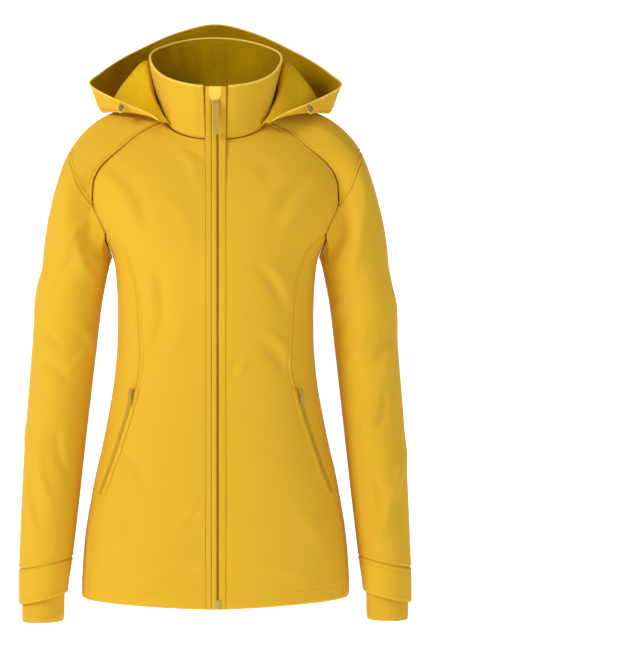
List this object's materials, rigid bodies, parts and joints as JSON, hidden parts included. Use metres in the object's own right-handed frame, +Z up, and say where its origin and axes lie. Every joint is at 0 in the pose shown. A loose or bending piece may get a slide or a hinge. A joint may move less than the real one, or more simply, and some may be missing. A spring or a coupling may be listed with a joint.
{
  "type": "babywearing softshell jacket",
  "caption": "Fitted hooded softshell jacket with a full front zip, slanted zip pockets and knit inner cuffs, filled out as worn, open at neck, hem and cuffs.",
  "frame": {"origin": "inside the neck, level with the shoulders, where the wearer's neck and shoulders hold the jacket", "axes": "+Z up; the front faces -Y; +X is the wearer's left side"},
  "size_m": [0.5626, 0.2822, 0.878],
  "materials": {
    "softshell": "smooth woven softshell, matt",
    "knit": "fine knit",
    "binding": "light woven binding",
    "zip_tape": "woven zip tape with coil",
    "zip_metal": "gold lacquered die-cast zinc"
  },
  "bodies": {
    "root": {"back": "softshell", "chin_guard": "binding", "collar": "softshell", "front_left": "softshell", "front_right": "softshell", "hood_band": "softshell", "hood_centre": "softshell", "hood_side_left": "softshell", "hood_side_right": "softshell", "knit_cuff_left": "knit", "knit_cuff_right": "knit", "main_zip_slider": "zip_metal", "placket_inner": "softshell", "placket_outer": "softshell", "placket_right": "softshell", "pocket_left_slider": "zip_metal", "pocket_right_slider": "zip_metal", "pocket_welt_left": "softshell", "pocket_welt_right": "softshell", "pocket_zip_left": "zip_tape", "pocket_zip_right": "zip_tape", "side_front_left": "softshell", "side_front_right": "softshell", "sleeve_cuff_left": "softshell", "sleeve_cuff_right": "softshell", "sleeve_left": "softshell", "sleeve_right": "softshell", "yoke_left": "softshell", "yoke_right": "softshell", "zip_coil": "zip_tape", "zip_tape": "zip_tape"},
    "main_pull": {"main_zip_pull_tab": "zip_metal"},
    "pocket_pull_left": {"pocket_left_pull_tab": "zip_metal"},
    "pocket_pull_right": {"pocket_right_pull_tab": "zip_metal"}
  },
  "joints": [
    {"name": "main_pull_swing", "type": "hinge", "parent": "root", "child": "main_pull", "pos_m": [0, -0.08804, 0.01084], "axis": [-1, 0, 0], "range_deg": [0, 150]},
    {"name": "pocket_pull_left_swing", "type": "hinge", "parent": "root", "child": "pocket_pull_left", "pos_m": [0.1215, -0.07888, -0.39325], "axis": [-0.7643, -0.6449, 0], "range_deg": [0, 150]},
    {"name": "pocket_pull_right_swing", "type": "hinge", "parent": "root", "child": "pocket_pull_right", "pos_m": [-0.1215, -0.07888, -0.39325], "axis": [-0.7643, 0.6449, 0], "range_deg": [0, 150]}
  ]
}
